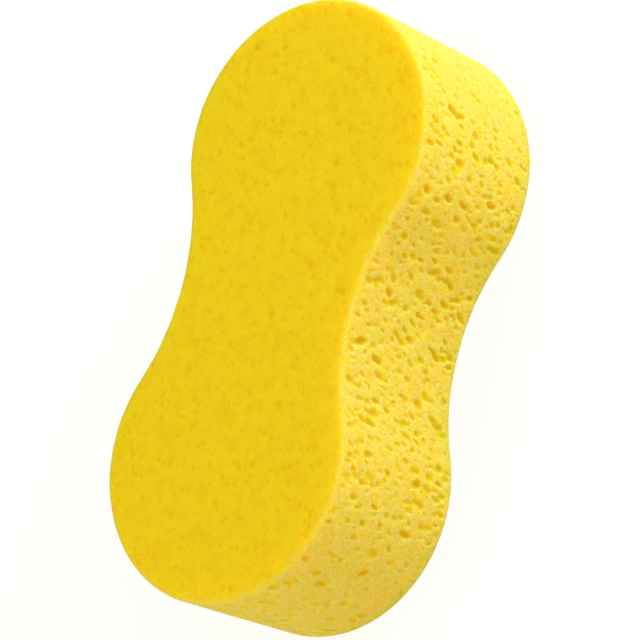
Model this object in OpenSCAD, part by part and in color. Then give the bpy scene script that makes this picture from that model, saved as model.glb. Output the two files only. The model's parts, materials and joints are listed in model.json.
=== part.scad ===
// Figure-eight cleaning sponge, cut in one piece from a block of open-cell
// polyurethane foam. It lies flat on one broad face: the long axis is X, the
// foam rises along Z, and the origin is under its middle, on the base.

/* [Block] */
// Overall length of the sponge
sponge_l = 220; // [180:1:264]
// Width across each round end
sponge_w = 104; // [85:1:125]
// Width across the waist, between the two hand grips
waist_w = 79; // [62:1:95]
// Thickness of the block
sponge_t = 66; // [50:1:85]
// Radius of the soft rim around each broad face
rim_r = 1.6; // [0.8:0.1:3]

/* [Burst cells in the wall] */
// Spacing of the burst cells around the wall and up it
wall_pitch = 11; // [9:0.5:24]
// Share of the places in the wall that hold a burst cell
wall_fill = 0.68; // [0.02:0.02:0.9]
// Radius of the smallest burst cell
cell_r_min = 1.1; // [0.8:0.1:1.4]
// Radius of the largest burst cell
cell_r_max = 2; // [1.5:0.1:2.4]
// Share of the wall's cells that have run together into a long slit
slit_share = 0.06; // [0:0.01:0.3]
// Bare foam between the wall's cells and each rim
wall_margin = 1.4; // [0.5:0.1:6]

/* [Burst cells in the broad faces] */
// Spacing of the shallow burst cells in the broad faces
face_pitch = 14; // [10:0.5:30]
// Share of the places in a broad face that hold a burst cell
face_fill = 0.44; // [0.02:0.02:0.9]
// Bare foam between the faces' cells and the outline
face_margin = 3; // [2:0.5:12]

/* [Pattern] */
// Seed of the foam's pattern
foam_seed = 41; // [1:1:999]

/* [Hidden] */
$fn = 64;

// The outline is four tangent arcs: two round ends, and two grips whose
// radius follows from the waist, to a hundredth of a millimetre.
end_r = sponge_w/2;
end_x = sponge_l/2 - end_r;
waist_r = waist_w/2;
grip_r = round(50*(end_x*end_x + waist_r*waist_r - end_r*end_r)/(end_r - waist_r))/100;
// Half of the angle that each arc turns through
grip_half = asin(end_x/(end_r + grip_r));
end_half = 90 + grip_half;
grip_y = (end_r + grip_r)*cos(grip_half);
// Lengths of the end arc and the grip arc in one quarter of the outline
end_len = end_r*end_half*PI/180;
grip_len = grip_r*grip_half*PI/180;
// How far the cutting solids reach past what they cut
past = 1;
// Width of the ring of foam beside a grip, as a share of the end's radius
ring_share = 0.6;
// How far the core reaches past the middle of a round end, and how far it
// stays behind the wall
core_past = 10;
core_inset = 6;

// A burst cell is a chain of bubbles along the foam's rise.
chain_max = 3;
slit_bubbles = 5;
// Spacing of a chain's bubbles, as a share of their radius
bubble_step = 1.05;
// Most that a bubble shrinks for each step from the chain's middle
bubble_taper = 0.3;
// How far a bubble's centre lies behind the surface, as shares of its radius
wall_depth = [-0.15, 0.45];
face_depth = [-0.55, -0.2];
face_cell_r = [1.2, 2.4];
// How far small cells outnumber large ones: 1 is evenly
wall_skew = 1.5;
face_skew = 2;
// How far a cell strays from its place in the grid, as a share of the spacing
stray = 0.22;

// Bare foam beside the lines where the arcs of the outline meet
join_bare = 0.5;
arc_margin = cell_r_max + join_bare;
// The wall's grid of places, in each quarter: columns along the end arc, then
// along the grip arc, and rows up the wall
row_space = sponge_t - 2*(rim_r + wall_margin);
rows = floor(row_space/wall_pitch);
row_pitch = row_space/rows;
end_columns = floor((end_len - 2*arc_margin)/wall_pitch);
grip_columns = floor((grip_len - 2*arc_margin)/wall_pitch);
wall_places = (end_columns + grip_columns)*rows;
// The grid of places in a quarter of a broad face, in staggered rows
face_row = face_pitch*sqrt(3)/2;
// Places of the first cell in even and odd rows, and of the first row, as
// shares of the spacing
face_starts = [0.3, 0.8];
face_row_start = 0.4;
face_nx = ceil(sponge_l/face_pitch/2);
face_ny = ceil(sponge_w/face_row/2);
face_places = face_nx*face_ny;

// Random values from 0 to 1 for every place
draws = 8;
wall_dice = rands(0, 1, 4*wall_places*draws, foam_seed);
face_dice = rands(0, 1, 8*face_places*draws, foam_seed + 1);

function between(range, share) = range[0] + (range[1] - range[0])*share;
function astray(dice) = stray*(2*dice - 1);

// Point of a quarter's outline, from the tip of the round end to the middle
// of the grip, and the direction in which the wall faces there: [x, y, angle]
function end_at(a) = [end_x + end_r*cos(a), end_r*sin(a), a];
function grip_at(a) = [grip_r*sin(a), grip_y - grip_r*cos(a), 90 + a];
function column_at(c, dice) =
    c < end_columns
        ? end_at(along(end_len, end_columns, c, dice)/end_r*180/PI)
        : grip_at(grip_half - along(grip_len, grip_columns, c - end_columns, dice)/grip_r*180/PI);
// Distance along an arc of its column c, of n
function along(len, n, c, dice) =
    arc_margin + (c + 0.5 + astray(dice))*(len - 2*arc_margin)/n;

// How far a point of a broad face lies inside the outline
function inside_by(x, y) =
    atan2(abs(x), grip_y - abs(y)) < grip_half
        ? norm([x, grip_y - abs(y)]) - grip_r
        : end_r - norm([abs(x) - end_x, y]);

// Section of a round end, from its middle out to the rimmed wall
module end_section() {
    polygon([
        [0, 0], [end_r - rim_r, 0], [end_r, rim_r],
        [end_r, sponge_t - rim_r], [end_r - rim_r, sponge_t], [0, sponge_t]
    ]);
    for (z = [rim_r, sponge_t - rim_r])
        translate([end_r - rim_r, z]) circle(rim_r);
}

// Section of the foam beside a grip, from the rimmed wall outwards
module grip_section() {
    far = grip_r + ring_share*end_r;
    polygon([
        [grip_r, rim_r], [grip_r + rim_r, 0], [far, 0],
        [far, sponge_t], [grip_r + rim_r, sponge_t], [grip_r, sponge_t - rim_r]
    ]);
    for (z = [rim_r, sponge_t - rim_r])
        translate([grip_r + rim_r, z]) circle(rim_r);
}

// The two arcs of a quarter of the sponge, in the frame of the line where
// they meet: X points at the grip's middle, and Y runs into the grip. The
// round end is a half-turn, the grip is a ring, and a core lies between them.
module arcs() {
    translate([-end_r, 0, 0]) rotate([0, 0, 180])
        rotate_extrude(angle = 180) end_section();
    translate([grip_r, 0, 0]) rotate([0, 0, 90])
        rotate_extrude(angle = 90) grip_section();
    translate([-end_r - core_past, 0, 0])
        cube([end_r + core_past - core_inset, end_x, sponge_t]);
}

// Quarter q of the sponge, from 0 to 3, drawn where x and y are positive
module quarter(q) {
    difference() {
        intersection() {
            translate([end_x - end_r*sin(grip_half), end_r*cos(grip_half), 0])
                rotate([0, 0, end_half]) arcs();
            translate([0, 0, -past]) cube([sponge_l, sponge_w, sponge_t + 2*past]);
        }
        wall_cells(q*wall_places*draws);
        face_cells(2*q*face_places*draws);
        translate([0, 0, sponge_t]) mirror([0, 0, 1])
            face_cells((2*q + 1)*face_places*draws);
    }
}

// A chain of bubbles along the rise, with its middle at the origin. Each
// bubble's own axis points into the wall, so its seam stays clear of the cut.
module burst_cell(r, bubbles, lean, taper) {
    for (i = [0:bubbles - 1]) {
        k = i - (bubbles - 1)/2;
        translate([0, lean*k, bubble_step*r*k])
            rotate([0, 90, 0]) sphere(r*(1 - taper*abs(k)));
    }
}

// Burst cells in a quarter's wall. first is the place of its first random value.
module wall_cells(first) {
    for (c = [0:end_columns + grip_columns - 1], w = [0:rows - 1]) {
        n = first + (c*rows + w)*draws;
        if (wall_dice[n] < wall_fill) {
            r = between([cell_r_min, cell_r_max], pow(wall_dice[n + 1], wall_skew));
            is_slit = wall_dice[n + 2] > 1 - slit_share;
            bubbles = is_slit ? slit_bubbles : 1 + floor(wall_dice[n + 2]*chain_max);
            taper = is_slit ? bubble_taper/2 : bubble_taper*wall_dice[n + 7];
            half_h = r*(1 + bubble_step*(bubbles - 1)/2);
            z_place = (w + 0.5 + astray(wall_dice[n + 4]))*row_pitch;
            z = min(max(z_place, half_h), row_space - half_h);
            p = column_at(c, wall_dice[n + 3]);
            translate([p[0], p[1], rim_r + wall_margin + z]) rotate([0, 0, p[2]])
                translate([-r*between(wall_depth, wall_dice[n + 5]), 0, 0])
                    burst_cell(r, bubbles, r*(wall_dice[n + 6] - 0.5), taper);
        }
    }
}

// Shallow cells in a quarter of a broad face that lies in z = 0, with the foam
// above it. first is the place of its first random value.
module face_cells(first) {
    for (i = [0:face_nx - 1], j = [0:face_ny - 1]) {
        n = first + (i*face_ny + j)*draws;
        x = (i + face_starts[j % 2] + astray(face_dice[n]))*face_pitch;
        y = (j + face_row_start + astray(face_dice[n + 1]))*face_row;
        r = between(face_cell_r, pow(face_dice[n + 2], face_skew));
        bare = min(inside_by(x, y) - face_margin, x, y) - r;
        if (face_dice[n + 3] < face_fill && bare > 0)
            translate([x, y, r*between(face_depth, face_dice[n + 4])]) sphere(r);
    }
}

// Half of the sponge, from its quarters q and q + 1
module half(q) {
    quarter(q);
    mirror([0, 1, 0]) quarter(q + 1);
}

module sponge() {
    color("#eecb16") {
        half(0);
        mirror([1, 0, 0]) half(2);
    }
}

sponge();
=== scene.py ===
"""A figure-eight cleaning sponge, cut from open-cell polyurethane foam."""

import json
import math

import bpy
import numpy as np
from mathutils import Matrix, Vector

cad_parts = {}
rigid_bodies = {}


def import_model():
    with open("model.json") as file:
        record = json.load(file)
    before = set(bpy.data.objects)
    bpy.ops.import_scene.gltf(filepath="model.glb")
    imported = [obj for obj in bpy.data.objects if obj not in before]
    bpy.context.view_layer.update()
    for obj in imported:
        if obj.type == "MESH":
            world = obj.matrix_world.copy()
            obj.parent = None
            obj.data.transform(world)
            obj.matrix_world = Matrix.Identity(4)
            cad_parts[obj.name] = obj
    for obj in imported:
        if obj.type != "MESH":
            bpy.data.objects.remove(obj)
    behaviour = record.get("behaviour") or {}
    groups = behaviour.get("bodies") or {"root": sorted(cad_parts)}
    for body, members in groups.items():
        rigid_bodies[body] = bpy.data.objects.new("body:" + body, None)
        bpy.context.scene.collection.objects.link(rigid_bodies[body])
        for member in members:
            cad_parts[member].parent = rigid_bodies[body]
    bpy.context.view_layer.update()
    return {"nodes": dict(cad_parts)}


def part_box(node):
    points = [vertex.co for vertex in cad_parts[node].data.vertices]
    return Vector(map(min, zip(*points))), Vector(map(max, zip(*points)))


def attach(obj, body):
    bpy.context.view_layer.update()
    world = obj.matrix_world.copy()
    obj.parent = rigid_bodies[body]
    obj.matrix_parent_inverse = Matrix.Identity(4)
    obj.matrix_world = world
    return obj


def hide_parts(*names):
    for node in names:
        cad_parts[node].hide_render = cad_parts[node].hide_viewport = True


bl_info = {
    "name": "Foam Cleaning Sponge",
    "version": (1, 0, 0),
    "blender": (4, 5, 0),
    "location": "View3D > Sidebar > Sponge",
    "description": "Carves the burst cells of a foam sponge and sets it in a studio",
    "category": "Object",
}

import openvdb
from bpy.props import FloatProperty, FloatVectorProperty, IntProperty, PointerProperty
from mathutils import Quaternion, Vector

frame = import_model()

NODE = "sponge"
MM = 0.001
CM = 0.01
LOW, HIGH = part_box(NODE)
MIDDLE = (LOW + HIGH) / 2

TRIANGLES_MOST = 196000
# How far the mesh may join up what is nearly flat, from 0 to 1
ADAPTIVITY = 0.02
# Points tried for cells over the whole surface, and how near the block's own
# surface a point in the wall and in a broad face must lie
TRIES = 16000
WALL_NEAR = 0.3 * MM
FACE_NEAR = 0.1 * MM
# The most that the direction in which the wall faces may point up or down
WALL_TILT = 0.3

# The foam's cells are coarse up to this far from the middle of the length,
# and finest from this far on
COARSE_TO = 40 * MM
FINE_FROM = 100 * MM

# The wall's burst cells. Pairs are the least and the most of a share.
# Most are small: large ones take the upper part of the range of radii.
LARGE_SHARE = 0.27
LARGE_FROM = 0.5
# Radii into the wall, along it and up it, as shares of the cell's own
INTO = (0.9, 1.2)
BESIDE = (0.8, 1.1)
UP = (0.7, 1.1)
# How far the middle lies behind the surface, as a share of the radius
WALL_DEPTH = (-0.15, 0.35)
# Spread of the lean from cell to cell, in radians
LEAN_SPREAD = 0.15
# Least distance between two cells, as a share of the sum of their radii
WALL_GAP = 1.1
# How far lumps push a cell's surface, as a share of its radius, and their size
LUMPS = 0.17
LUMP_SIZE = 1.6 * MM
# A twin's size, and its steps beside the cell and up or down, as shares
TWIN_SIZE = (0.5, 0.85)
TWIN_BESIDE = (-0.7, 0.7)
TWIN_STEP = (0.8, 1.1)

# The broad faces' dimples: how far small ones outnumber large ones, the depth
# as a share of the radius, and the least distance between two
FACE_SKEW = 1.8
FACE_DEPTH = (0.2, 0.5)
FACE_GAP = 0.95

# Sizes of the waves that the knife leaves, and the share of the smaller one
LONG_WAVE = 4 * MM
SHORT_WAVE = 1.3 * MM
SHORT_SHARE = 0.6


# ---------------------------------------------------------------- settings


def srgb(text):
    """The linear colour, with alpha, of an sRGB hex value such as "#eecb16"."""
    channels = [int(text[i:i + 2], 16) / 255 for i in (1, 3, 5)]
    return [c / 12.92 if c <= 0.04045 else ((c + 0.055) / 1.055) ** 2.4 for c in channels] + [1.0]


def length(name, description, default):
    """A length in metres."""
    return FloatProperty(
        name=name, description=description, default=default, min=0.0, precision=5, unit="LENGTH"
    )


def angle(name, description, degrees):
    """An angle, given in degrees."""
    return FloatProperty(
        name=name, description=description, default=math.radians(degrees), subtype="ANGLE"
    )


def share(name, description, default):
    """A share from 0 to 1."""
    return FloatProperty(
        name=name, description=description, default=default, min=0.0, max=1.0, subtype="FACTOR"
    )


def per_area(name, description, default):
    """How many there are in each square centimetre."""
    return FloatProperty(name=name, description=description, default=default, min=0.0)


def power(name, description, default):
    """A lamp's power in watts."""
    return FloatProperty(
        name=name, description=description, default=default, min=0.0, unit="POWER"
    )


def colour(name, description, default):
    """A colour, given as an sRGB hex value."""
    return FloatVectorProperty(
        name=name, description=description, default=srgb(default), size=4, min=0.0, max=1.0,
        subtype="COLOR",
    )


class FoamForm(bpy.types.PropertyGroup):
    """How the foam is carved."""

    voxel: length("Voxel", "Spacing of the grid that the foam is carved on", 0.45 * MM)
    rim: length("Rim", "Radius of the soft rim around each broad face", 1.6 * MM)
    facet: length(
        "Facet allowance", "How far the frame's flat facets may stray from its arcs", 0.15 * MM
    )
    seed: IntProperty(name="Seed", description="Seed of the foam's pattern", default=5, min=0)
    wall_pores: per_area(
        "Wall pores", "Burst cells to each square centimetre of wall, at the waist", 5.4
    )
    ends: share("Ends", "Share of those cells at the two ends, where the foam is finer", 0.4)
    wall_least: length(
        "Smallest wall pore", "Radius of the wall's smallest burst cell, across its rise", 0.55 * MM
    )
    wall_most: length(
        "Largest wall pore", "Radius of the wall's largest burst cell, across its rise", 1.9 * MM
    )
    rim_bare: length(
        "Bare rim", "Foam left whole between the wall's pores and the rims", 0.6 * MM
    )
    rise: FloatProperty(
        name="Rise", description="How much longer a cell is along the foam's rise than across it",
        default=1.8, min=1.0,
    )
    lean: angle("Lean", "How far the foam's rise leans from the thickness towards the length", 6)
    twins: share("Twins", "Share of the wall's pores that have run into a second one", 0.12)
    face_pores: per_area("Face pores", "Dimples to each square centimetre of broad face", 5.0)
    face_least: length(
        "Smallest face pore", "Radius of the smallest dimple in a broad face", 0.6 * MM
    )
    face_most: length("Largest face pore", "Radius of the largest dimple in a broad face", 1.5 * MM)
    lips: length("Soft lips", "How far the lips of the broad faces' cells are rounded", 0.9 * MM)
    turn_in: length(
        "Turn-in", "How far a broad face's colour runs on into the wall, and back", 2.4 * MM
    )
    uneven: length("Unevenness", "How far the knife's cut strays from a flat face", 0.07 * MM)


class FoamColours(bpy.types.PropertyGroup):
    """The colours of the foam."""

    face: colour("Broad faces", "Foam cut across its rise", "#ffdc14")
    wall: colour("Wall", "Foam cut along its rise", "#dfca2a")
    # Patches that took more dye, and also painted shade: the deeper wall at the waist and the
    # inside of the broad faces' dimples
    deep: colour("Deep", "Foam where the bun took more dye", "#f8cb02")
    # Painted shade: the deeper yellow painted into the wall's burst cells and pits by their depth
    pore_shade: colour("Pores", "Foam inside a burst cell", "#f0d80e")
    # Pale cut ribs. This colour also paints the white light that they catch (painted sheen), the
    # pale lips of burst cells (painted highlight) and the glints (painted glints)
    rib: colour("Ribs", "Foam of the ribs between the cells", "#f1e68c")


class Studio(bpy.types.PropertyGroup):
    """The camera and the lamps."""

    azimuth: angle("Azimuth", "Direction of the camera round the sponge", -9.83)
    elevation: angle("Elevation", "Height of the camera over the floor's plane", 50.18)
    roll: angle("Roll", "Turn of the camera about its own axis", 68.09)
    distance: length("Distance", "Distance from the camera to the sponge's middle", 1.3218)
    lens: FloatProperty(name="Lens", description="Focal length", default=208.1, unit="CAMERA")
    floor: length("Floor", "Side of the floor", 8.0)
    key: power("Key lamp", "Power of the low key lamp", 6.2)
    card: power("Gold card", "Power of the gold card", 7.5)
    sky: FloatProperty(
        name="Sky", description="Strength of the light from all round", default=0.82, min=0.0
    )


# -------------------------------------------------------- form of the foam


class Block:
    """The uncarved block: four tangent arcs, extruded, with a soft rim."""

    def __init__(self, rim):
        size = HIGH - LOW
        self.low = np.array(LOW)
        self.high = np.array(HIGH)
        self.half_t = size.z / 2
        self.mid_z = MIDDLE.z
        self.rim = rim
        self.end_r = size.y / 2
        self.end_x = size.x / 2 - self.end_r
        waist_r = waist_half_width(size.x)
        spare = self.end_x**2 + waist_r**2 - self.end_r**2
        self.grip_r = spare / (2 * (self.end_r - waist_r))
        self.grip_y = waist_r + self.grip_r
        self.grip_half = math.atan2(self.end_x, self.grip_y)

    def outline(self, x, y):
        """How far a point lies outside the outline."""
        x, y = np.abs(x), np.abs(y)
        in_grip = np.arctan2(x, self.grip_y - y) < self.grip_half
        grip = self.grip_r - np.hypot(x, self.grip_y - y)
        return np.where(in_grip, grip, np.hypot(x - self.end_x, y) - self.end_r)

    def distance(self, x, y, z):
        """How far a point lies outside the block."""
        across = self.outline(x, y) + self.rim
        up = np.abs(z - self.mid_z) - self.half_t + self.rim
        beyond = np.hypot(np.maximum(across, 0), np.maximum(up, 0))
        return np.minimum(np.maximum(across, up), 0) + beyond - self.rim


def waist_half_width(length_x):
    """Half of the width across the waist, measured on the frame's own mesh."""
    points = vertex_array(frame["nodes"][NODE].data)
    strip = length_x / 200
    at_waist = points[np.abs(points[:, 0]) < strip]
    return float(np.abs(at_waist[:, 1]).max())


def vertex_array(mesh):
    """A mesh's vertices as an array of rows."""
    points = np.empty(len(mesh.vertices) * 3, np.float32)
    mesh.vertices.foreach_get("co", points)
    return points.reshape(-1, 3)


def triangle_array(mesh):
    """A mesh's triangles as rows of three vertex numbers."""
    mesh.calc_loop_triangles()
    corners = np.empty(len(mesh.loop_triangles) * 3, np.int32)
    mesh.loop_triangles.foreach_get("vertices", corners)
    return corners.reshape(-1, 3)


class Foam:
    """A distance field on a grid: below 0 in foam, above 0 in air."""

    # Voxels of distance kept to each side of the surface, and of air around the block
    BAND = 3.0
    MARGIN = 4
    # The layer under each broad face whose cells get soft lips, and how far
    # inside the outline that begins. It sets in over 1 mm.
    SOFT_LAYER = 5 * MM
    SOFT_INSIDE_MM = 2
    # How far a lumpy bubble and a dimple reach, as shares of their radii
    BUBBLE_REACH = 1.4
    DIMPLE_REACH = 1.8
    # The layer that a dimple lowers, past its radius, as a share of its depth
    DIMPLE_LAYER = 3
    # How flat a dimple's floor is: 1 is a plain bell curve
    DIMPLE_FLAT = 1.5

    def __init__(self, block, voxel):
        self.voxel = voxel
        self.band = self.BAND * voxel
        self.origin = block.low - self.MARGIN * voxel
        counts = np.ceil((block.high - self.origin) / voxel).astype(int) + self.MARGIN + 1
        self.axes = [self.origin[i] + np.arange(counts[i]) * voxel for i in range(3)]
        x, y, z = np.ix_(*self.axes)
        self.values = block.distance(x, y, z).astype(np.float32)

    def noise(self, spacing, rng):
        """Smooth noise from -1 to 1, with lumps of about that size."""
        coarse = [int(len(axis) * self.voxel / spacing) + 3 for axis in self.axes]
        values = rng.uniform(-1, 1, coarse).astype(np.float32)
        for i, axis in enumerate(self.axes):
            place = np.arange(len(axis)) * self.voxel / spacing
            cell = place.astype(int)
            along = (place - cell).astype(np.float32)
            along = along * along * (3 - 2 * along)
            along = along.reshape([-1 if j == i else 1 for j in range(3)])
            values = values.take(cell, i) * (1 - along) + values.take(cell + 1, i) * along
        return values

    def window(self, centre, reach):
        """The part of the grid within reach of a point, as slices, and its
        axes, counted from the point."""
        low = [(centre[i] - reach[i] - self.origin[i]) / self.voxel for i in range(3)]
        high = [(centre[i] + reach[i] - self.origin[i]) / self.voxel for i in range(3)]
        first = [int(max(place, 0)) for place in low]
        last = [int(place) + 2 for place in high]
        part = tuple(slice(a, max(b, a)) for a, b in zip(first, last))
        return part, np.ix_(*[self.axes[i][part[i]] - centre[i] for i in range(3)])

    def subtract_node(self, node, allowance):
        """Takes away the burst cells that the frame's own mesh has."""
        mesh = frame["nodes"][node].data
        grid = openvdb.FloatGrid.createLevelSetFromPolygons(
            (vertex_array(mesh) - self.origin).astype(np.float32),
            triangles=triangle_array(mesh).astype(np.uint32),
            transform=openvdb.createLinearTransform(self.voxel),
            halfWidth=self.BAND,
        )
        own = np.empty(self.values.shape, np.float32)
        grid.copyToArray(own)
        np.maximum(self.values, own - allowance, out=self.values)

    def soften_faces(self, block, reach):
        """Rounds the lips of what is carved in the two broad faces so far."""
        steps = max(int(reach / self.voxel), 1)
        deep = int(self.SOFT_LAYER / self.voxel)
        x, y, z = np.ix_(*self.axes)
        inside = np.clip(-block.outline(x, y) / MM - self.SOFT_INSIDE_MM, 0, 1)
        inside = inside.astype(np.float32)
        for part in (slice(0, deep), slice(len(self.axes[2]) - deep, None)):
            whole = block.distance(x, y, z[:, :, part]).astype(np.float32)
            hollow = self.values[:, :, part] - whole
            for axis in (0, 1, 0, 1):
                hollow = running_mean(hollow, axis, steps)
            self.values[:, :, part] += (whole + hollow - self.values[:, :, part]) * inside

    def subtract_bubble(self, centre, radii, turn, shear, lumps):
        """Takes away an uneven ellipsoid, which leans along X by shear for each step up.

        radii are into the wall, along it and up it, and turn faces it into the wall.
        """
        across = self.BUBBLE_REACH * max(radii[:2])
        up = self.BUBBLE_REACH * radii[2]
        part, (x, y, z) = self.window(centre, [across + shear * up, across, up])
        x = x - shear * z
        into = (x * math.cos(turn) + y * math.sin(turn)) / radii[0]
        beside = (y * math.cos(turn) - x * math.sin(turn)) / radii[1]
        q = np.sqrt(into**2 + beside**2 + (z / radii[2]) ** 2)
        hollow = (1 - q + lumps[part]) * min(radii)
        target = self.values[part]
        np.maximum(target, hollow.astype(np.float32), out=target)

    def sink_dimple(self, centre, radius, depth):
        """Lowers the surface around a point in a soft round dimple."""
        aside = self.DIMPLE_REACH * radius
        part, (x, y, _) = self.window(centre, [aside, aside, self.DIMPLE_LAYER * depth + radius])
        off = (x**2 + y**2) / radius**2
        self.values[part] += (depth * np.exp(-(off**self.DIMPLE_FLAT))).astype(np.float32)

    def mesh(self, name):
        """The foam's surface as a mesh."""
        grid = openvdb.FloatGrid()
        grid.background = self.band
        grid.transform = openvdb.createLinearTransform(self.voxel)
        grid.copyFromArray(np.clip(self.values, -self.band, self.band))
        points, triangles, quads = grid.convertToPolygons(0.0, ADAPTIVITY)
        corners = np.concatenate([triangles.ravel(), quads.ravel()])
        sizes = np.concatenate([np.full(len(triangles), 3), np.full(len(quads), 4)])
        starts = np.concatenate([[0], np.cumsum(sizes)[:-1]])
        mesh = bpy.data.meshes.new(name)
        mesh.vertices.add(len(points))
        mesh.vertices.foreach_set("co", (points + self.origin).astype(np.float32).ravel())
        mesh.loops.add(len(corners))
        mesh.loops.foreach_set("vertex_index", corners.astype(np.int32))
        mesh.polygons.add(len(sizes))
        mesh.polygons.foreach_set("loop_start", starts.astype(np.int32))
        mesh.update(calc_edges=True)
        mesh.validate()
        return mesh


def running_mean(values, axis, steps):
    """Each value's mean with its neighbours, that many steps to either side along an axis."""
    total = sum(np.roll(values, shift, axis) for shift in range(-steps, steps + 1))
    return total / (2 * steps + 1)


def surface_points(rng):
    """Points spread evenly over the frame's own sponge, the direction in which
    it faces at each, and the square centimetres that each stands for."""
    mesh = frame["nodes"][NODE].data
    corners = vertex_array(mesh)[triangle_array(mesh)].astype(float)
    first, side, other = corners[:, 0], corners[:, 1] - corners[:, 0], corners[:, 2] - corners[:, 0]
    cross = np.cross(side, other)
    # Twice each triangle's area
    area = np.linalg.norm(cross, axis=1)
    pick = rng.choice(len(area), TRIES, p=area / area.sum())
    a, b = rng.random((2, TRIES, 1))
    a, b = np.where(a + b > 1, 1 - a, a), np.where(a + b > 1, 1 - b, b)
    points = first[pick] + a * side[pick] + b * other[pick]
    return points, cross[pick] / area[pick, None], area.sum() / 2 / CM**2 / TRIES


def spread_out(points, radii, gap):
    """Numbers of the points that are kept, so that no two are nearer than gap times
    the sum of their radii."""
    kept = []
    for i, point in enumerate(points):
        if kept:
            apart = np.linalg.norm(points[kept] - point, axis=1)
            if (apart < gap * (radii[kept] + radii[i])).any():
                continue
        kept.append(i)
    return kept


def coarseness(x):
    """1 around the waist, where the foam's cells are coarse, down to 0 at the two ends."""
    near = min(max((FINE_FROM - abs(x)) / (FINE_FROM - COARSE_TO), 0), 1)
    return near * near * (3 - 2 * near)


def carve_wall(foam, block, form, rng):
    """Burst cells in the wall: long along the rise, and some of them run together."""
    points, normals, area = surface_points(rng)
    wall = (np.abs(block.distance(*points.T)) < WALL_NEAR) & (np.abs(normals[:, 2]) < WALL_TILT)
    points, normals = points[wall], normals[wall]
    tries = len(points)
    is_large = rng.random(tries) < LARGE_SHARE
    size = np.where(is_large, rng.uniform(LARGE_FROM, 1, tries), LARGE_FROM * rng.random(tries))
    radii = form.wall_least + (form.wall_most - form.wall_least) * size
    kept = spread_out(points, radii, WALL_GAP)[:int(form.wall_pores * area * tries)]
    lumps = LUMPS * foam.noise(LUMP_SIZE, rng)
    for i in kept:
        if rng.random() > form.ends + (1 - form.ends) * coarseness(points[i, 0]):
            continue
        turn = math.atan2(normals[i, 1], normals[i, 0])
        shear = math.tan(form.lean + rng.normal(0, LEAN_SPREAD))
        into, beside, up = rng.uniform(*INTO), rng.uniform(*BESIDE), rng.uniform(*UP)
        radius = radii[i]
        shape = [radius * into, radius * beside, radius * up * form.rise]
        centre = points[i] - normals[i] * shape[0] * rng.uniform(*WALL_DEPTH)
        room = block.half_t - block.rim - form.rim_bare - shape[2]
        centre[2] = block.mid_z + min(max(centre[2] - block.mid_z, -room), room)
        foam.subtract_bubble(centre, shape, turn, shear, lumps)
        if rng.random() < form.twins:
            smaller = rng.uniform(*TWIN_SIZE)
            along = np.array([-math.sin(turn), math.cos(turn), 0])
            step = along * radius * rng.uniform(*TWIN_BESIDE)
            step[2] = math.copysign(shape[2] * rng.uniform(*TWIN_STEP), block.mid_z - centre[2])
            step[0] += shear * step[2]
            twin = [r * smaller for r in shape]
            foam.subtract_bubble(centre + step, twin, turn, shear, lumps)


def sink_faces(foam, block, form, rng):
    """Soft dimples in the two broad faces, where the cells are seen end on."""
    points, _, area = surface_points(rng)
    on_face = np.abs(np.abs(points[:, 2] - block.mid_z) - block.half_t) < FACE_NEAR
    clear = block.outline(points[:, 0], points[:, 1]) < -block.rim - form.face_most
    points = points[on_face & clear]
    tries = len(points)
    size = rng.random(tries) ** FACE_SKEW
    radii = form.face_least + (form.face_most - form.face_least) * size
    for i in spread_out(points, radii, FACE_GAP)[:int(form.face_pores * area * tries)]:
        foam.sink_dimple(points[i], radii[i], radii[i] * rng.uniform(*FACE_DEPTH))


def drop_crumbs(piece):
    """Deletes loose crumbs and closed bubbles. The shell that reaches furthest along X stays."""
    furthest = int(vertex_array(piece.data)[:, 0].argmax())
    bpy.ops.object.select_all(action="DESELECT")
    bpy.context.view_layer.objects.active = piece
    piece.select_set(True)
    bpy.ops.object.mode_set(mode="EDIT")
    bpy.ops.mesh.select_all(action="DESELECT")
    bpy.ops.object.mode_set(mode="OBJECT")
    piece.data.vertices[furthest].select = True
    bpy.ops.object.mode_set(mode="EDIT")
    bpy.ops.mesh.select_linked()
    bpy.ops.mesh.select_all(action="INVERT")
    bpy.ops.mesh.delete(type="VERT")
    bpy.ops.object.mode_set(mode="OBJECT")


def thin_out(piece, most):
    """Collapses edges until the piece has no more than that many triangles."""
    piece.data.calc_loop_triangles()
    now = len(piece.data.loop_triangles)
    if now > most:
        modifier = piece.modifiers.new("Thin out", "DECIMATE")
        modifier.ratio = most / now
        bpy.ops.object.modifier_apply(modifier=modifier.name)


def record_places(mesh, block, turn_in):
    """Stores two values at each point, for the material.

    depth_mm is how far it lies behind the uncarved block. wall_share is 0 on a broad
    face and 1 on the wall, and the two blend over turn_in to each side.
    """
    x, y, z = vertex_array(mesh).astype(float).T
    across = np.maximum(block.outline(x, y) + turn_in, 0)
    up = np.maximum(np.abs(z - block.mid_z) - block.half_t + turn_in, 0)
    values = {
        "depth_mm": -block.distance(x, y, z) / MM,
        "wall_share": np.where(across + up > 0, np.arctan2(across, up) * 2 / math.pi, 1),
    }
    for name, value in values.items():
        store = mesh.attributes.new(name, "FLOAT", "POINT")
        store.data.foreach_set("value", value.astype(np.float32))


# --------------------------------------------------------------- materials


def add_node(tree, kind, **settings):
    """Adds a node.

    A setting names one of its own properties or, with a value or an output, an input,
    by name or by number, as in i0.
    """
    node = tree.nodes.new(kind)
    for key, value in settings.items():
        if hasattr(node, key) and not key[0].isupper():
            setattr(node, key, value)
            continue
        by_number = key[0] == "i" and key[1:].isdigit()
        socket = node.inputs[int(key[1:]) if by_number else key.replace("_", " ")]
        if isinstance(value, bpy.types.NodeSocket):
            tree.links.new(value, socket)
        else:
            socket.default_value = value
    return node


def bare_tree(owner):
    """The node tree of a material or a world, with no nodes in it."""
    owner.use_nodes = True
    owner.node_tree.nodes.clear()
    return owner.node_tree


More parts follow.
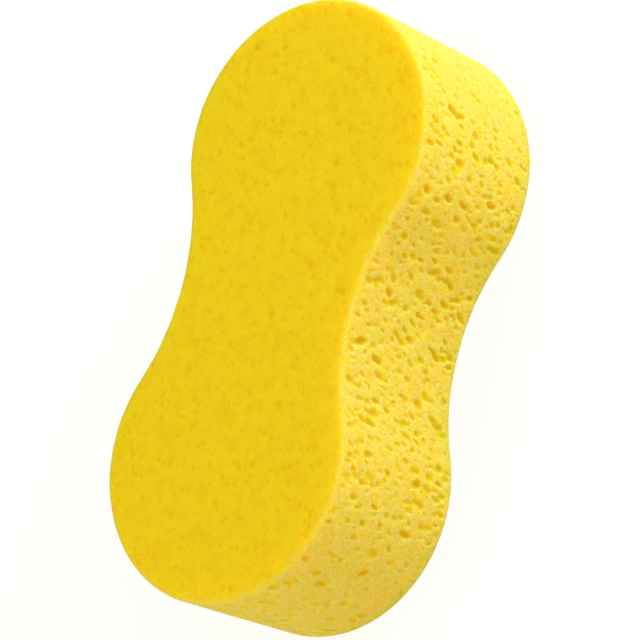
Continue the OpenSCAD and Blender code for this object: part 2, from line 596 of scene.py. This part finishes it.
def foam_material(colours):
    """Open-cell polyurethane ether foam, cut with a band knife.

    It has no gloss of its own: light sinks a few millimetres into it and
    comes out a deeper yellow. The white light that the cut ribs of its cells catch
    is painted into the colour as pale ribs (painted sheen). The deeper yellow of light
    bounced inside its cells and pits is painted by their depth (painted shade).
    """
    material = bpy.data.materials.new("Polyurethane foam, cut open-cell")
    tree = bare_tree(material)
    place = add_node(tree, "ShaderNodeTexCoord").outputs["Object"]
    depth = add_node(tree, "ShaderNodeAttribute", attribute_name="depth_mm").outputs["Fac"]
    wall_share = add_node(tree, "ShaderNodeAttribute", attribute_name="wall_share").outputs["Fac"]
    # Cells about 1.3 mm across, half as long again up the rise, and bent out of shape
    cell_place = add_node(
        tree, "ShaderNodeVectorMath", operation="MULTIPLY", i0=place, i1=(1.0, 1.0, 0.65)
    ).outputs[0]
    bend = add_node(
        tree, "ShaderNodeTexNoise", Vector=cell_place, Scale=1 / (2.4 * MM), Detail=3.0,
        Roughness=0.6,
    ).outputs["Color"]
    bent_place = add_node(
        tree, "ShaderNodeVectorMath", operation="MULTIPLY_ADD", i0=bend, i1=(4 * MM,) * 3,
        i2=cell_place,
    ).outputs[0]
    cell_scale = 1 / (1.3 * MM)
    net = add_node(
        tree, "ShaderNodeTexVoronoi", feature="DISTANCE_TO_EDGE", Vector=bent_place,
        Scale=cell_scale,
    ).outputs["Distance"]
    cell = add_node(
        tree, "ShaderNodeTexVoronoi", feature="F1", Vector=bent_place, Scale=cell_scale
    ).outputs["Color"]
    # Frayed threads. Real ones are a tenth of a millimetre, so they are drawn
    # as coarse as they need to show.
    fine = add_node(
        tree, "ShaderNodeTexNoise", Vector=cell_place, Scale=1 / (0.5 * MM), Detail=2.0,
        Roughness=0.7,
    ).outputs["Fac"]
    # Patches of the bun that took a little more or less dye, 4 mm across
    broad = add_node(
        tree, "ShaderNodeTexNoise", Vector=place, Scale=1 / (4 * MM), Detail=2.0, Roughness=0.6
    ).outputs["Fac"]
    # The border between face and wall wanders by the size of a cell
    wander = add_node(
        tree, "ShaderNodeMath", operation="MULTIPLY_ADD", i0=broad, i1=0.5, i2=wall_share
    ).outputs[0]
    wander = add_node(
        tree, "ShaderNodeMath", operation="MULTIPLY_ADD", i0=fine, i1=0.4, i2=wander
    ).outputs[0]
    is_wall = add_node(
        tree, "ShaderNodeMapRange", Value=wander, From_Min=0.5, From_Max=1.05,
        interpolation_type="SMOOTHSTEP",
    ).outputs["Result"]
    base = add_node(
        tree, "ShaderNodeMix", data_type="RGBA", i0=is_wall, i6=colours.face, i7=colours.wall
    ).outputs[2]
    dye_and_waist_shade = add_node(
        tree, "ShaderNodeMapRange", Value=broad, From_Min=0.42, From_Max=0.68, To_Max=0.5
    ).outputs["Result"]
    # The foam is coarser around the waist than at the two ends, and its wall
    # is painted a deeper yellow there: painted shade where the concave waist turns from the key
    # lamp
    along = add_node(tree, "ShaderNodeSeparateXYZ", Vector=place).outputs[0]
    along = add_node(tree, "ShaderNodeMath", operation="ABSOLUTE", i0=along).outputs[0]
    coarse = add_node(
        tree, "ShaderNodeMapRange", Value=along, From_Min=FINE_FROM, From_Max=COARSE_TO,
        interpolation_type="SMOOTHSTEP",
    ).outputs["Result"]
    coarse_wall_and_shade = add_node(
        tree, "ShaderNodeMath", operation="MULTIPLY", i0=coarse, i1=is_wall
    ).outputs[0]
    dye_and_waist_shade = add_node(
        tree, "ShaderNodeMath", operation="MULTIPLY_ADD", i0=coarse_wall_and_shade, i1=0.3, i2=dye_and_waist_shade
    ).outputs[0]
    base = add_node(
        tree, "ShaderNodeMix", data_type="RGBA", i0=dye_and_waist_shade, i6=base, i7=colours.deep
    ).outputs[2]
    # Cut ribs are pale, and show most on the wall, where the knife ran along them. Their pale
    # colour also stands for the white light that the ribs catch there: a painted sheen.
    # They fray, and many cells are skinned over, so the net between the open ones
    # shows in short lengths only.
    thread = add_node(
        tree, "ShaderNodeMapRange", Value=net, From_Min=0.2, From_Max=0.02
    ).outputs["Result"]
    skin = add_node(tree, "ShaderNodeSeparateColor", Color=cell).outputs[0]
    skin = add_node(
        tree, "ShaderNodeMapRange", Value=skin, From_Min=0.3, From_Max=0.8, To_Max=0.55
    ).outputs["Result"]
    pale = add_node(tree, "ShaderNodeMath", operation="MAXIMUM", i0=thread, i1=skin).outputs[0]
    frayed = add_node(
        tree, "ShaderNodeMapRange", Value=fine, From_Min=0.36, From_Max=0.62, To_Min=0.15
    ).outputs["Result"]
    ribs_and_sheen = add_node(tree, "ShaderNodeMath", operation="MULTIPLY", i0=pale, i1=frayed).outputs[0]
    rib_sheen_share = add_node(
        tree, "ShaderNodeMapRange", Value=is_wall, To_Min=0.05, To_Max=0.9
    ).outputs["Result"]
    ribs_and_sheen = add_node(
        tree, "ShaderNodeMath", operation="MULTIPLY", i0=ribs_and_sheen, i1=rib_sheen_share
    ).outputs[0]
    toned = add_node(
        tree, "ShaderNodeMix", data_type="RGBA", i0=ribs_and_sheen, i6=base, i7=colours.rib
    ).outputs[2]
    # Cells that burst at the very surface leave shallow pits, one to each 3 mm or so:
    # up to 1.5 mm across on the wall, and 2.5 mm on a face. Each pit is sunk in the bump
    # and painted the deeper yellow of a burst cell's inside (painted shade).
    pits = add_node(
        tree, "ShaderNodeTexVoronoi", feature="F1", Vector=bent_place, Scale=1 / (2.8 * MM)
    ).outputs
    pit_size = add_node(tree, "ShaderNodeSeparateColor", Color=pits["Color"]).outputs[1]
    pit_most = add_node(
        tree, "ShaderNodeMapRange", Value=is_wall, To_Min=0.45, To_Max=0.22
    ).outputs["Result"]
    pit_most = add_node(
        tree, "ShaderNodeMath", operation="MULTIPLY_ADD", i0=coarse_wall_and_shade, i1=0.1, i2=pit_most
    ).outputs[0]
    pit_edge = add_node(
        tree, "ShaderNodeMath", operation="MULTIPLY", i0=pit_size, i1=pit_most
    ).outputs[0]
    pit_edge = add_node(
        tree, "ShaderNodeMath", operation="SUBTRACT", i0=pit_edge, i1=pits["Distance"]
    ).outputs[0]
    pit_and_painted_shade = add_node(
        tree, "ShaderNodeMapRange", Value=pit_edge, From_Min=-0.05, From_Max=0.1, To_Max=0.75,
        interpolation_type="SMOOTHSTEP",
    ).outputs["Result"]
    # A pale lip painted around each burst cell in the wall: a painted highlight on its rim
    pale_lip_highlight = add_node(
        tree, "ShaderNodeMapRange", Value=depth, From_Min=0.05, From_Max=0.2, To_Max=0.3
    ).outputs["Result"]
    pale_lip_highlight = add_node(tree, "ShaderNodeMath", operation="MULTIPLY", i0=pale_lip_highlight, i1=is_wall).outputs[0]
    toned = add_node(
        tree, "ShaderNodeMix", data_type="RGBA", i0=pale_lip_highlight, i6=toned, i7=colours.rib
    ).outputs[2]
    # Burst cells, dimples and pits are painted a deeper yellow by their depth: painted shade
    # for the light that has bounced inside them. One value serves twice: the depth in
    # millimetres at which the painted shade is deepest, and its share there.
    deepest_shade = add_node(
        tree, "ShaderNodeMapRange", Value=is_wall, To_Min=0.7, To_Max=0.85
    ).outputs["Result"]
    painted_cell_shade = add_node(
        tree, "ShaderNodeMapRange", Value=depth, From_Min=0.12, From_Max=deepest_shade,
        To_Max=deepest_shade, interpolation_type="SMOOTHSTEP",
    ).outputs["Result"]
    painted_cell_shade = add_node(tree, "ShaderNodeMath", operation="MAXIMUM", i0=painted_cell_shade, i1=pit_and_painted_shade).outputs[0]
    # The painted shade's colour: deep in the broad faces' dimples, pore_shade in the wall's cells
    # and pits
    inside = add_node(
        tree, "ShaderNodeMix", data_type="RGBA", i0=is_wall, i6=colours.deep, i7=colours.pore_shade
    ).outputs[2]
    toned = add_node(
        tree, "ShaderNodeMix", data_type="RGBA", i0=painted_cell_shade, i6=toned, i7=inside
    ).outputs[2]
    # Painted glints: pale specks painted on the surface, one to each 2 mm or so, where a few ribs
    # would lie flat to the lamps
    painted_glint_spots = add_node(
        tree, "ShaderNodeTexVoronoi", feature="F1", Vector=place, Scale=1 / (1.8 * MM)
    ).outputs["Distance"]
    painted_glint = add_node(
        tree, "ShaderNodeMapRange", Value=painted_glint_spots, From_Min=0.16, From_Max=0.08, To_Max=0.4
    ).outputs["Result"]
    toned = add_node(
        tree, "ShaderNodeMix", data_type="RGBA", i0=painted_glint, i6=toned, i7=colours.rib
    ).outputs[2]
    # Ribs and skins stand up to half a millimetre above the pits
    relief = add_node(
        tree, "ShaderNodeMath", operation="MULTIPLY_ADD", i0=fine, i1=0.4, i2=pale
    ).outputs[0]
    relief = add_node(
        tree, "ShaderNodeMath", operation="MULTIPLY_ADD", i0=pit_and_painted_shade, i1=-0.7, i2=relief
    ).outputs[0]
    bump = add_node(
        tree, "ShaderNodeBump", Strength=0.6, Distance=0.5 * MM, Height=relief
    ).outputs[0]
    shader = add_node(
        tree, "ShaderNodeBsdfPrincipled", Base_Color=toned, Roughness=0.8, IOR=1.5, Normal=bump,
        Specular_IOR_Level=0.05, Subsurface_Weight=1.0, Subsurface_Radius=(1.0, 0.5, 0.06),
        Subsurface_Scale=10.0 * MM,
    )
    add_node(tree, "ShaderNodeOutputMaterial", Surface=shader.outputs[0])
    return material


def floor_material():
    """Matt white paper. It looks nearly white by itself, so only a soft shadow shows on it."""
    material = bpy.data.materials.new("White paper sweep, matt")
    tree = bare_tree(material)
    paper = add_node(tree, "ShaderNodeBsdfDiffuse", Color=srgb("#bcbcbc")).outputs[0]
    part = add_node(tree, "ShaderNodeBsdfDiffuse", Color=srgb("#959595")).outputs[0]
    glow = add_node(tree, "ShaderNodeEmission", Strength=0.78).outputs[0]
    seen = add_node(tree, "ShaderNodeAddShader", i0=part, i1=glow).outputs[0]
    surface = add_node(
        tree, "ShaderNodeMixShader", i0=is_seen(tree), i1=paper, i2=seen
    ).outputs[0]
    add_node(tree, "ShaderNodeOutputMaterial", Surface=surface)
    return material


def is_seen(tree):
    """1 for what the camera sees, itself or in a reflection or through glass."""
    path = add_node(tree, "ShaderNodeLightPath").outputs
    mirrored = add_node(
        tree, "ShaderNodeMath", operation="MAXIMUM",
        i0=path["Is Glossy Ray"], i1=path["Is Transmission Ray"],
    ).outputs[0]
    return add_node(
        tree, "ShaderNodeMath", operation="MAXIMUM", i0=path["Is Camera Ray"], i1=mirrored
    ).outputs[0]


# --------------------------------------------------------------- operators


class SPONGE_OT_foam(bpy.types.Operator):
    """Carve the foam block and give it its material"""

    bl_idname = "sponge.foam"
    bl_label = "Foam Sponge"

    def execute(self, context):
        form = context.scene.sponge_form
        rng = np.random.default_rng(form.seed)
        block = Block(form.rim)
        foam = Foam(block, form.voxel)
        waves = foam.noise(LONG_WAVE, rng) + SHORT_SHARE * foam.noise(SHORT_WAVE, rng)
        foam.values += form.uneven * waves
        foam.subtract_node(NODE, form.facet)
        foam.soften_faces(block, form.lips)
        carve_wall(foam, block, form, rng)
        sink_faces(foam, block, form, rng)
        piece = bpy.data.objects.new("foam_sponge", foam.mesh("foam_sponge"))
        context.scene.collection.objects.link(piece)
        drop_crumbs(piece)
        thin_out(piece, TRIANGLES_MOST)
        record_places(piece.data, block, form.turn_in)
        piece.data.materials.append(foam_material(context.scene.sponge_colours))
        piece.data.shade_smooth()
        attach(piece, "root")
        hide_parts(NODE)
        return {"FINISHED"}


class SPONGE_OT_studio(bpy.types.Operator):
    """Set the floor, the lamps, the sky and the camera"""

    bl_idname = "sponge.studio"
    bl_label = "Studio"

    def execute(self, context):
        studio = context.scene.sponge_studio
        add_floor(studio.floor)
        add_lamp(
            "Key", azimuth=57, elevation=11, distance=0.9, size=0.5, watts=studio.key,
            tint="#ffffff",
        )
        add_lamp(
            "Gold card", azimuth=-55, elevation=7, distance=1.3, size=1.0, watts=studio.card,
            tint="#ffdd95",
        )
        add_sky(studio.sky)
        add_camera(studio)
        context.scene.view_settings.view_transform = "Standard"
        return {"FINISHED"}


def towards(azimuth, elevation):
    """Unit vector from the sponge to a place round it. Azimuth 0 is at -Y and 90 degrees at +X."""
    flat = math.cos(elevation)
    return Vector((math.sin(azimuth) * flat, -math.cos(azimuth) * flat, math.sin(elevation)))


def add_floor(side):
    """A flat floor under the sponge."""
    half = side / 2
    corners = [(-half, -half, 0), (half, -half, 0), (half, half, 0), (-half, half, 0)]
    mesh = bpy.data.meshes.new("floor")
    mesh.from_pydata(corners, [], [(0, 1, 2, 3)])
    mesh.materials.append(floor_material())
    floor = bpy.data.objects.new("floor", mesh)
    bpy.context.scene.collection.objects.link(floor)


def add_lamp(name, azimuth, elevation, distance, size, watts, tint):
    """A square soft box that faces the sponge. The angles are in degrees."""
    lamp = bpy.data.lights.new(name, "AREA")
    lamp.size = size
    lamp.energy = watts
    lamp.color = srgb(tint)[:3]
    holder = bpy.data.objects.new(name, lamp)
    away = towards(math.radians(azimuth), math.radians(elevation))
    holder.location = MIDDLE + away * distance
    holder.rotation_mode = "QUATERNION"
    holder.rotation_quaternion = (-away).to_track_quat("-Z", "Y")
    bpy.context.scene.collection.objects.link(holder)


def add_sky(strength):
    """Even, slightly warm light from all round, that looks white to the camera."""
    world = bpy.data.worlds.new("Studio")
    tree = bare_tree(world)
    light = add_node(
        tree, "ShaderNodeBackground", Color=srgb("#fff7e5"), Strength=strength
    ).outputs[0]
    white = add_node(
        tree, "ShaderNodeBackground", Color=srgb("#ffffff"), Strength=1.0
    ).outputs[0]
    surface = add_node(
        tree, "ShaderNodeMixShader", i0=is_seen(tree), i1=light, i2=white
    ).outputs[0]
    add_node(tree, "ShaderNodeOutputWorld", Surface=surface)
    bpy.context.scene.world = world


def add_camera(studio):
    """A long lens that looks down at the sponge, turned so that it stands on end in the view."""
    camera = bpy.data.objects.new("Camera", bpy.data.cameras.new("Camera"))
    away = towards(studio.azimuth, studio.elevation)
    camera.location = MIDDLE + away * studio.distance
    camera.rotation_mode = "QUATERNION"
    level = (-away).to_track_quat("-Z", "Y")
    camera.rotation_quaternion = level @ Quaternion((0, 0, 1), -studio.roll)
    camera.data.lens = studio.lens
    bpy.context.scene.collection.objects.link(camera)
    bpy.context.scene.camera = camera


class SPONGE_PT_panel(bpy.types.Panel):
    """The sponge's settings and pieces"""

    bl_label = "Foam Sponge"
    bl_space_type = "VIEW_3D"
    bl_region_type = "UI"
    bl_category = "Sponge"

    def draw(self, context):
        for name in GROUPS:
            group = getattr(context.scene, name)
            box = self.layout.box()
            for setting in group.__annotations__:
                box.prop(group, setting)
        for operator in OPERATORS:
            self.layout.operator(operator.bl_idname)


GROUPS = {"sponge_form": FoamForm, "sponge_colours": FoamColours, "sponge_studio": Studio}
OPERATORS = (SPONGE_OT_foam, SPONGE_OT_studio)
CLASSES = (*GROUPS.values(), *OPERATORS, SPONGE_PT_panel)


def register():
    for cls in CLASSES:
        bpy.utils.register_class(cls)
    for name, group in GROUPS.items():
        setattr(bpy.types.Scene, name, PointerProperty(type=group))


def unregister():
    for name in GROUPS:
        delattr(bpy.types.Scene, name)
    for cls in reversed(CLASSES):
        bpy.utils.unregister_class(cls)


def main():
    register()
    bpy.ops.sponge.foam()
    bpy.ops.sponge.studio()


if __name__ == "__main__":
    main()
